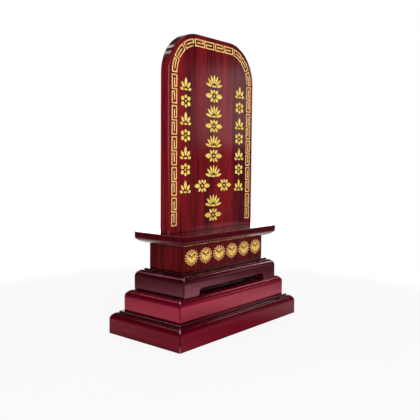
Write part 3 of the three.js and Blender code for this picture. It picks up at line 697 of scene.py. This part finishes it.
def lacquered_wood(name, dark, middle, bright, along, of, streaks=110.0, length=18.0, gloss=0.05, fibre=0.5,
                   pore=0.45):
    """Hardwood under gloss lacquer: three tones spread by the grain's streaks and fibres, dark pores, painted
    shade in joints and cuts and on the shoulders, darker arrises with a pale painted highlight where they
    cross a shoulder, a red lustre in the colour coat, and a clear coat that mirrors more and more towards a
    grazing view."""
    material, shader, add, join = new_material(name)
    place = add("ShaderNodeTexCoord").outputs["Object"]
    grain = placed_group(add, join, GRAIN, turned_to(add, join, place, along))
    grain.inputs["Streaks per Metre"].default_value = streaks
    grain.inputs["Length"].default_value = length
    arris_and_light = placed_group(add, join, ARRIS_AND_LIGHT, place)
    polish = placed_group(add, join, POLISH, place)
    lines = maths(add, join, "MULTIPLY", grain.outputs["Fibre"], fibre)
    broad = maths(add, join, "MULTIPLY", grain.outputs["Streak"], 1.0 - fibre)
    tone = maths(add, join, "ADD", lines, broad, clamp=True)
    ramp = add("ShaderNodeValToRGB")
    join(tone, ramp.inputs[0])
    stops = ramp.color_ramp.elements
    stops[0].position, stops[0].color = 0.15, dark
    stops[1].position, stops[1].color = 0.9, bright
    between = stops.new(0.5)
    between.color = middle
    colour = blend_share(add, join, grain.outputs["Pore"], pore, ramp.outputs[0], darker(dark, PORE_SHADE))
    darkened_tone = darker(dark, DARKENED_SHARE)
    # Painted shade: shoulders that look upwards are darkened towards the darkest tone.
    colour = blend_share(add, join, arris_and_light.outputs["Shoulder"], SHOULDER_PAINTED_SHADE, colour, darkened_tone)
    # Darker along the arrises.
    colour = blend_share(add, join, arris_and_light.outputs["Edge"], ARRIS_DARKENING, colour, darkened_tone)
    chips = maths(add, join, "MULTIPLY", arris_and_light.outputs["Edge"], polish.outputs["Speck"])
    colour = blend_colour(add, join, chips, colour, CHIP_COLOUR)
    # Painted highlight: a pale tone where an arris crosses a rounded shoulder, at the mitred corners.
    colour = blend_colour(add, join, arris_and_light.outputs["Corner"], colour, CORNER_PAINTED_HIGHLIGHT)
    # Painted shade: joints and cuts darkened by occlusion.
    colour = blend_colour(add, join, arris_and_light.outputs["Cavity"], colour, CAVITY_PAINTED_SHADE)
    join(colour, shader.inputs["Base Color"])
    roughness = remap(add, join, polish.outputs["Smear"], *NOISE_SPREAD, *LACQUER_ROUGHNESS)
    join(roughness, shader.inputs["Roughness"])
    shader.inputs["IOR"].default_value = LUSTRE_IOR[of]
    shader.inputs["Specular Tint"].default_value = LUSTRE_TINT[of]
    view = add("ShaderNodeLayerWeight", Blend=0.5)
    weight = remap(add, join, view.outputs["Facing"], *GRAZING, FACING[of], 1.0)
    smeared = remap(add, join, polish.outputs["Smear"], *COAT_SMEAR)
    coat = maths(add, join, "MULTIPLY", weight, smeared)
    kept = remap(add, join, arris_and_light.outputs["Edge"], 0.0, 1.0, 1.0, COAT_ON_ARRIS)
    join(maths(add, join, "MULTIPLY", coat, kept), shader.inputs["Coat Weight"])
    shader.inputs["Coat Roughness"].default_value = gloss
    shader.inputs["Coat IOR"].default_value = COAT_IOR
    sunk = maths(add, join, "MULTIPLY", grain.outputs["Pore"], PORE_DEPTH)
    height = maths(add, join, "SUBTRACT", polish.outputs["Ripple"], sunk)
    add_bump(add, join, shader, height, *LACQUER_BUMP, normal=arris_and_light.outputs["Normal"])
    return material


def gold_leaf(name, warm, pale, gilt_attribute=False):
    """Gold size and leaf on carved wood: warm and pale patches, thin brown where it is rubbed, and painted
    shade in the hollows. With the gilt attribute of the medallions, petals are pinker and the ungilt ground
    shows."""
    material, shader, add, join = new_material(name)
    place = add("ShaderNodeTexCoord").outputs["Object"]
    arris_and_light = placed_group(add, join, ARRIS_AND_LIGHT, place)
    patches = noise(add, join, place, GOLD_PATCH_SCALE, 4.0, 0.6)
    brushed = noise(add, join, place, GOLD_BRUSH_SCALE, 2.0, 0.5)
    colour = blend_colour(add, join, remap(add, join, patches, *GOLD_PATCH_CUT), warm, pale)
    colour = blend_share(add, join, remap(add, join, brushed, *GOLD_RUB_CUT), GOLD_RUB, colour, GOLD_RUBBED)
    shader.inputs["Metallic"].default_value = GOLD_METAL
    if gilt_attribute:
        cover = add("ShaderNodeAttribute", attribute_name="gilt").outputs["Fac"]
        petals = blend_colour(add, join, 0.5, colour, PETAL_GOLD)
        colour = blend_colour(add, join, remap(add, join, cover, *GILT_BOWL), petals, colour)
        colour = blend_colour(add, join, remap(add, join, cover, *GILT_GROUND), GROUND_COLOUR, colour)
        metal = maths(add, join, "MULTIPLY", remap(add, join, cover, *GILT_METAL), GOLD_METAL)
        join(metal, shader.inputs["Metallic"])
    # Painted shade in the hollows, from occlusion.
    colour = blend_share(add, join, arris_and_light.outputs["Cavity"], GOLD_SHADOWING, colour, GOLD_SHADOW)
    join(colour, shader.inputs["Base Color"])
    join(remap(add, join, patches, *NOISE_SPREAD, *GOLD_ROUGHNESS), shader.inputs["Roughness"])
    add_bump(add, join, shader, brushed, *GOLD_BUMP)
    return material


def planed_wood(name, along):
    """Bare planed wood of the hidden blocks, boards and slips: pale brown with fibres and pores."""
    material, shader, add, join = new_material(name)
    place = add("ShaderNodeTexCoord").outputs["Object"]
    grain = placed_group(add, join, GRAIN, turned_to(add, join, place, along))
    arris_and_light = placed_group(add, join, ARRIS_AND_LIGHT, place)
    colour = blend_colour(add, join, grain.outputs["Streak"], *PLANED_TONES)
    for mask, (share, tone) in PLANED_MARKS.items():
        source = arris_and_light if mask == "Edge" else grain
        colour = blend_share(add, join, source.outputs[mask], share, colour, tone)
    join(colour, shader.inputs["Base Color"])
    join(remap(add, join, grain.outputs["Fibre"], 0.0, 1.0, *PLANED_ROUGHNESS), shader.inputs["Roughness"])
    shader.inputs["Specular IOR Level"].default_value = PLANED_SHINE
    add_bump(add, join, shader, grain.outputs["Fibre"], *PLANED_BUMP)
    return material


def plated_steel(name):
    """Zinc plate on the screws: cool grey with a yellow cast, rubbed and scratched."""
    material, shader, add, join = new_material(name)
    place = add("ShaderNodeTexCoord").outputs["Object"]
    arris_and_light = placed_group(add, join, ARRIS_AND_LIGHT, place)
    clouds = noise(add, join, place, STEEL_CLOUD_SCALE, 4.0, 0.6)
    tone = blend_colour(add, join, remap(add, join, clouds, *NOISE_SPREAD), *STEEL_TONES)
    colour = blend_colour(add, join, arris_and_light.outputs["Edge"], tone, STEEL_EDGE)
    join(colour, shader.inputs["Base Color"])
    join(remap(add, join, clouds, *NOISE_SPREAD, *STEEL_ROUGHNESS), shader.inputs["Roughness"])
    shader.inputs["Metallic"].default_value = 1.0
    return material


# Finishes

def shade(red, green, blue):
    """A colour for a node from its 0 to 255 screen values."""
    def linear(value):
        value /= 255
        return value / 12.92 if value <= 0.04045 else ((value + 0.055) / 1.055) ** 2.4
    return (linear(red), linear(green), linear(blue), 1)


COAT_IOR = 1.5
LACQUER_ROUGHNESS = (0.11, 0.19)
# Painted shade for joints and cuts
CAVITY_PAINTED_SHADE = (0.006, 0.001, 0.001, 1)
COAT_SMEAR = (0.25, 0.75, 0.8, 1.0)
COAT_ON_ARRIS = 0.2
PORE_SHADE = 0.3
PORE_DEPTH = 0.15
DARKENED_SHARE = 0.25
# Share of painted shade on the upward-looking shoulders
SHOULDER_PAINTED_SHADE = 0.7
ARRIS_DARKENING = 0.8
LACQUER_BUMP = (0.12, 0.3 * MM)
GOLD_BUMP = (0.25, 0.08 * MM)
PLANED_BUMP = (0.35, 0.15 * MM)
GRAZING = (0.42, 0.88)
CHIP_COLOUR = shade(235, 190, 200)
GROUND_COLOUR = shade(96, 40, 16)
PETAL_GOLD = shade(240, 176, 130)
GOLD_METAL = 0.15
GOLD_PATCH_SCALE = 260.0
GOLD_PATCH_CUT = (0.35, 0.65)
GOLD_BRUSH_SCALE = 1500.0
GOLD_RUB_CUT = (0.66, 0.8)
GOLD_RUB = 0.4
GOLD_SHADOWING = 0.5
GILT_BOWL = (0.76, 0.95)
GILT_GROUND = (0.1, 0.7)
GILT_METAL = (0.3, 0.7)
GOLD_ROUGHNESS = (0.26, 0.42)
GOLD_RUBBED = (0.40, 0.17, 0.05, 1)
GOLD_SHADOW = (0.12, 0.04, 0.012, 1)
PLANED_TONES = ((0.20, 0.09, 0.045, 1), (0.42, 0.23, 0.12, 1))
PLANED_MARKS = {
    "Fibre": (0.5, (0.30, 0.15, 0.07, 1)), "Pore": (0.6, (0.07, 0.03, 0.015, 1)),
    "Edge": (0.4, (0.55, 0.36, 0.22, 1)),
}
PLANED_ROUGHNESS = (0.5, 0.72)
PLANED_SHINE = 0.3
STEEL_TONES = ((0.42, 0.40, 0.34, 1), (0.66, 0.64, 0.58, 1))
STEEL_CLOUD_SCALE = 500.0
STEEL_EDGE = (0.75, 0.74, 0.72, 1)
STEEL_ROUGHNESS = (0.25, 0.45)
GOLD_TONES = {
    "fret_gilding": (shade(250, 184, 92), shade(255, 224, 150)),
    "blossom_gilding": (shade(255, 206, 78), shade(255, 238, 130)),
    "medallion_gilding": (shade(250, 186, 72), shade(255, 226, 120)),
}
FACING = {"tablet": 0.5, "waist": 0.25, "shelf": 0.15, "ledge": 0.2, 1: 0.75, 2: 0.3, 3: 0.08}
LUSTRE_TINT = {
    "tablet": (1.0, 0.06, 0.12, 1), "waist": (1.0, 0.10, 0.12, 1), "shelf": (1.0, 0.05, 0.16, 1),
    "ledge": (1.0, 0.05, 0.16, 1),
    1: (1.0, 0.06, 0.24, 1), 2: (1.0, 0.03, 0.10, 1), 3: (1.0, 0.02, 0.08, 1),
}
LUSTRE_IOR = {"tablet": 1.4, "waist": 1.45, "shelf": 1.55, "ledge": 1.45, 1: 2.0, 2: 2.3, 3: 1.3}
# Painted highlight at the mitred corners of the shoulders
CORNER_PAINTED_HIGHLIGHT = shade(236, 205, 214)
TIER_GLOSS = 0.1
MERGE_DISTANCE = 0.005 * MM
ARRIS_ANGLE = math.radians(40)
MITRED_ARRIS = 0.2 * MM
PANEL_ARRIS = 0.5 * MM
THIN_BOARD_ARRIS = 0.3 * MM
COVER_ARRIS = 0.25 * MM
SLIP_ARRIS = 0.15 * MM
SHARP = 0
TABLET_TONES = {"dark": shade(56, 8, 18), "middle": shade(104, 13, 22), "bright": shade(142, 24, 32)}
WAIST_TONES = {"dark": shade(66, 8, 12), "middle": shade(90, 14, 16), "bright": shade(112, 20, 21)}
SHELF_TONES = {"dark": shade(64, 0, 8), "middle": shade(76, 2, 12), "bright": shade(88, 5, 16)}
LEDGE_TONES = {"dark": shade(34, 0, 4), "middle": shade(44, 2, 8), "bright": shade(56, 4, 12)}
TIER_TONES = {
    1: {"dark": shade(58, 6, 12), "middle": shade(66, 8, 15), "bright": shade(74, 10, 20)},
    2: {"dark": shade(106, 0, 24), "middle": shade(116, 3, 32), "bright": shade(126, 7, 40)},
    3: {"dark": shade(90, 0, 16), "middle": shade(99, 2, 22), "bright": shade(108, 5, 28)},
}


def soften(node, width):
    """Rounds a CAD node's sharp edges: its loose triangles are merged, bevelled where they turn by more than
    the arris angle, and shaded by the size of their faces."""
    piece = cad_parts[node]
    weld = piece.modifiers.new("Merge", "WELD")
    weld.merge_threshold = MERGE_DISTANCE
    if width > 0:
        bevel = piece.modifiers.new("Arris", "BEVEL")
        bevel.width = width
        bevel.segments = 3
        bevel.limit_method = "ANGLE"
        bevel.angle_limit = ARRIS_ANGLE
        bevel.use_clamp_overlap = True
    normals = piece.modifiers.new("Shading", "WEIGHTED_NORMAL")
    normals.weight = 100
    normals.keep_sharp = True


def finish_node(node, material, width):
    """Gives a CAD node its material and its softened edges."""
    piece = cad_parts[node]
    piece.data.materials.clear()
    piece.data.materials.append(material)
    soften(node, width)


def dress_frame():
    """Every CAD node that shows or is held inside gets its finish; grain follows each board's length."""
    bare = planed_wood("bare_wood", "Z")
    bare_level = planed_wood("bare_wood_level", "X")
    steel = plated_steel("screw_steel")
    waist = lacquered_wood("waist_lacquer", **WAIST_TONES, along="Z", of="waist", streaks=150.0, fibre=0.35)
    shelf = lacquered_wood("shelf_lacquer", **SHELF_TONES, along="X", of="shelf", fibre=0.2, gloss=0.16)
    tablet = lacquered_wood(
        "tablet_lacquer", **TABLET_TONES, along="Z", of="tablet", streaks=90.0, length=30.0,
        fibre=0.35, gloss=0.12)
    ledge = lacquered_wood("ledge_lacquer", **LEDGE_TONES, along="X", of="ledge", fibre=0.2, pore=0.15)
    for side in ("front", "right", "back", "left"):
        finish_node(f"waist_{side}_board", waist, MITRED_ARRIS)
    for tier, tones in TIER_TONES.items():
        rail = {**tones, "of": tier, "fibre": 0.15, "pore": 0.1, "gloss": TIER_GLOSS}
        lengthwise = lacquered_wood(f"tier_{tier}_lacquer", **rail, along="X")
        crosswise = lacquered_wood(f"tier_{tier}_end_lacquer", **rail, along="Y")
        for side in ("front", "back"):
            finish_node(f"tier_{tier}_{side}_rail", lengthwise, MITRED_ARRIS)
        for side in ("left", "right"):
            finish_node(f"tier_{tier}_{side}_rail", crosswise, MITRED_ARRIS)
        finish_node(f"tier_{tier}_panel", ledge, PANEL_ARRIS)
        if tier == 1:
            finish_node("tier_1_locating_board", ledge, THIN_BOARD_ARRIS)
        for i in CORNERS:
            finish_node(f"tier_{tier}_block_{i}", bare, SHARP)
    finish_node("shelf_board", shelf, PANEL_ARRIS)
    finish_node("tablet_board", tablet, SHARP)
    finish_node("rear_cover", tablet, COVER_ARRIS)
    finish_node("base_board", bare_level, THIN_BOARD_ARRIS)
    for i in CORNERS:
        finish_node(f"waist_block_{i}", bare, SHARP)
        finish_node(f"shelf_dowel_{i}", bare, SHARP)
        finish_node(f"base_screw_{i}", steel, SHARP)
    for i in SLIPS:
        finish_node(f"name_slip_{i}", bare, SLIP_ARRIS)


# Stage

OBJECT_MIDDLE = (0, 0, 0.17)
FACE_MIDDLE = (0, 0, 0.27)
LEFT_SHOULDER = (-0.075, 0, 0.335)

# Softboxes: place, target, width, height and watts. Key from the front left and fill from the front right,
# one behind and one on the right for the lines along the shoulders, one for the glint on the tablet's left
# shoulder, one for the sheen on its face, one low behind for the shelf's top, and a spark for the corners.
LAMPS = {
    "key": ((-1.05, -1.15, 0.60), OBJECT_MIDDLE, 0.9, 0.8, 11.0),
    "fill": ((0.55, -1.6, 0.5), OBJECT_MIDDLE, 0.8, 0.8, 4.0),
    "back_glow": ((-0.40, 0.95, 1.10), OBJECT_MIDDLE, 0.14, 0.30, 0.6),
    "back_core": ((-0.05, 0.826, 1.208), LEFT_SHOULDER, 0.20, 0.03, 0.14),
    "right_glow": ((1.2, -0.34, 0.90), OBJECT_MIDDLE, 0.12, 0.35, 0.7),
    "face_sheen": ((1.60, -1.24, 0.47), FACE_MIDDLE, 0.30, 0.36, 0.36),
    "low_back": ((1.55, 1.28, 0.32), OBJECT_MIDDLE, 2.6, 0.34, 3.6),
    "spark": ((0.0, -0.16, 1.35), OBJECT_MIDDLE, 0.09, 0.09, 4.0),
}


def add_camera():
    """The camera from its place, yaw from +Y towards +X, pitch and roll."""
    yaw, pitch, roll = CAMERA_YAW, CAMERA_PITCH, CAMERA_ROLL
    forward = Vector((math.sin(yaw) * math.cos(pitch), math.cos(yaw) * math.cos(pitch), math.sin(pitch)))
    level = Vector((math.cos(yaw), -math.sin(yaw), 0))
    upright = level.cross(forward)
    right = level * math.cos(roll) + upright * math.sin(roll)
    up = upright * math.cos(roll) - level * math.sin(roll)
    data = bpy.data.cameras.new("camera")
    data.lens = CAMERA_LENS
    data.sensor_width = SENSOR_WIDTH
    data.clip_start = CAMERA_NEAR
    camera = bpy.data.objects.new("camera", data)
    turn = Matrix((right, up, -forward)).transposed().to_4x4()
    camera.matrix_world = Matrix.Translation(CAMERA_PLACE) @ turn
    bpy.context.scene.collection.objects.link(camera)
    bpy.context.scene.camera = camera


def seen_ray(add, join):
    """1 for rays from the camera, off glossy surfaces or through glass."""
    path = add("ShaderNodeLightPath")
    seen = maths(add, join, "MAXIMUM", path.outputs["Is Camera Ray"], path.outputs["Is Glossy Ray"])
    return maths(add, join, "MAXIMUM", seen, path.outputs["Is Transmission Ray"])


def add_world():
    """White to the eye. Reflections see a white backdrop behind the object, up to some height, and the dark
    of the studio elsewhere. Everything else gets a grey light that is stronger from low down."""
    world = bpy.data.worlds.new("studio")
    world.use_nodes = True
    tree = world.node_tree
    tree.nodes.clear()
    add, join = links_of(tree)
    place = add("ShaderNodeTexCoord").outputs["Generated"]
    parts = add("ShaderNodeSeparateXYZ")
    join(place, parts.inputs[0])
    behind = add("ShaderNodeVectorMath", operation="DOT_PRODUCT")
    join(place, behind.inputs[0])
    behind.inputs[1].default_value = BACKDROP_WAY
    sheet = maths(
        add, join, "MULTIPLY", remap(add, join, behind.outputs["Value"], *BACKDROP_SPREAD),
        remap(add, join, parts.outputs["Z"], *BACKDROP_HEIGHT, 1.0, 0.0))
    path = add("ShaderNodeLightPath")
    mirrored = maths(add, join, "MAXIMUM", sheet, STUDIO_GLOSS)
    backdrop = maths(add, join, "MAXIMUM", path.outputs["Is Camera Ray"], mirrored)
    light = add("ShaderNodeBackground", Color=(1, 1, 1, 1))
    join(remap(add, join, parts.outputs["Z"], *WORLD_LIGHT_BAND, WORLD_LOW_LIGHT, WORLD_HIGH_LIGHT),
         light.inputs["Strength"])
    white = add("ShaderNodeBackground", Color=(1, 1, 1, 1), Strength=1.0)
    join(backdrop, white.inputs["Strength"])
    mixed = add("ShaderNodeMixShader")
    join(seen_ray(add, join), mixed.inputs[0])
    join(light.outputs[0], mixed.inputs[1])
    join(white.outputs[0], mixed.inputs[2])
    join(mixed.outputs[0], add("ShaderNodeOutputWorld").inputs["Surface"])
    bpy.context.scene.world = world


def add_floor():
    """A pale floor that takes the object's shadow and turns white away from it. In reflections it is lit in
    a ring around the object, and dark under it and far from it."""
    material, shader, add, join = new_material("floor")
    place = add("ShaderNodeTexCoord").outputs["Object"]
    distance = add("ShaderNodeVectorMath", operation="LENGTH")
    join(place, distance.inputs[0])
    far = remap(add, join, distance.outputs["Value"], FLOOR_FADE_START, FLOOR_FADE_END)
    shader.inputs["Base Color"].default_value = (*FLOOR_COLOUR, 1)
    shader.inputs["Roughness"].default_value = FLOOR_ROUGHNESS
    shader.inputs["Specular IOR Level"].default_value = FLOOR_SHINE
    rise = remap(add, join, distance.outputs["Value"], *FLOOR_GLOSS_RISE, FLOOR_GLOSS_LOW, 1.0)
    fall = remap(add, join, distance.outputs["Value"], *FLOOR_GLOSS_FALL, 1.0, FLOOR_GLOSS_LOW)
    ring = maths(add, join, "MULTIPLY", rise, fall)
    path = add("ShaderNodeLightPath")
    strength = maths(add, join, "MAXIMUM", ring, path.outputs["Is Camera Ray"])
    white = add("ShaderNodeEmission", Color=(1, 1, 1, 1))
    join(strength, white.inputs["Strength"])
    shown = maths(add, join, "MAXIMUM", far, FLOOR_NEAR_WHITE)
    shown = maths(add, join, "MAXIMUM", shown, path.outputs["Is Glossy Ray"])
    mixed = add("ShaderNodeMixShader")
    join(maths(add, join, "MULTIPLY", shown, seen_ray(add, join)), mixed.inputs[0])
    join(shader.outputs[0], mixed.inputs[1])
    join(white.outputs[0], mixed.inputs[2])
    output = [node for node in material.node_tree.nodes if node.type == "OUTPUT_MATERIAL"][0]
    join(mixed.outputs[0], output.inputs["Surface"])
    mesh = bpy.data.meshes.new("floor")
    corners = [(x * FLOOR_HALF, y * FLOOR_HALF, 0) for x, y in ((-1, -1), (1, -1), (1, 1), (-1, 1))]
    mesh.from_pydata(corners, [], [(0, 1, 2, 3)])
    mesh.materials.append(material)
    floor = bpy.data.objects.new("floor", mesh)
    bpy.context.scene.collection.objects.link(floor)


def add_softbox(name, place, target, width, height, power):
    """A rectangular lamp turned to a point."""
    data = bpy.data.lights.new(name, "AREA")
    data.shape = "RECTANGLE"
    data.size = width
    data.size_y = height
    data.energy = power
    lamp = bpy.data.objects.new(name, data)
    lamp.location = place
    lamp.rotation_euler = (Vector(target) - Vector(place)).to_track_quat("-Z", "Y").to_euler()
    bpy.context.scene.collection.objects.link(lamp)
    return lamp


def add_lights():
    """Every softbox of the table; the one low behind the object is kept out of the camera's sight."""
    lamps = {name: add_softbox(name, *values) for name, values in LAMPS.items()}
    lamps["low_back"].visible_camera = False


def build():
    """Camera and studio, then the finish of every node and the new gilt pieces."""
    scene = bpy.context.scene
    scene.view_settings.view_transform = "Standard"
    add_camera()
    add_world()
    add_floor()
    add_lights()
    dress_frame()
    gold = {name: gold_leaf(name, *tones, gilt_attribute=name == "medallion_gilding")
            for name, tones in GOLD_TONES.items()}
    fret_border(gold["fret_gilding"])
    blossoms = gold["blossom_gilding"]
    blossom_column("centre_blossom_gilding", 0.0, CENTRE_COLUMN, blossoms)
    side_x = TABLET_HALF - SIDE_COLUMN_INSET
    blossom_column("left_blossom_gilding", -side_x, SIDE_COLUMN, blossoms)
    blossom_column("right_blossom_gilding", side_x, SIDE_COLUMN, blossoms)
    for i in MEDALLIONS:
        lotus_medallion(f"lotus_medallion_{i}", gold["medallion_gilding"])


build()
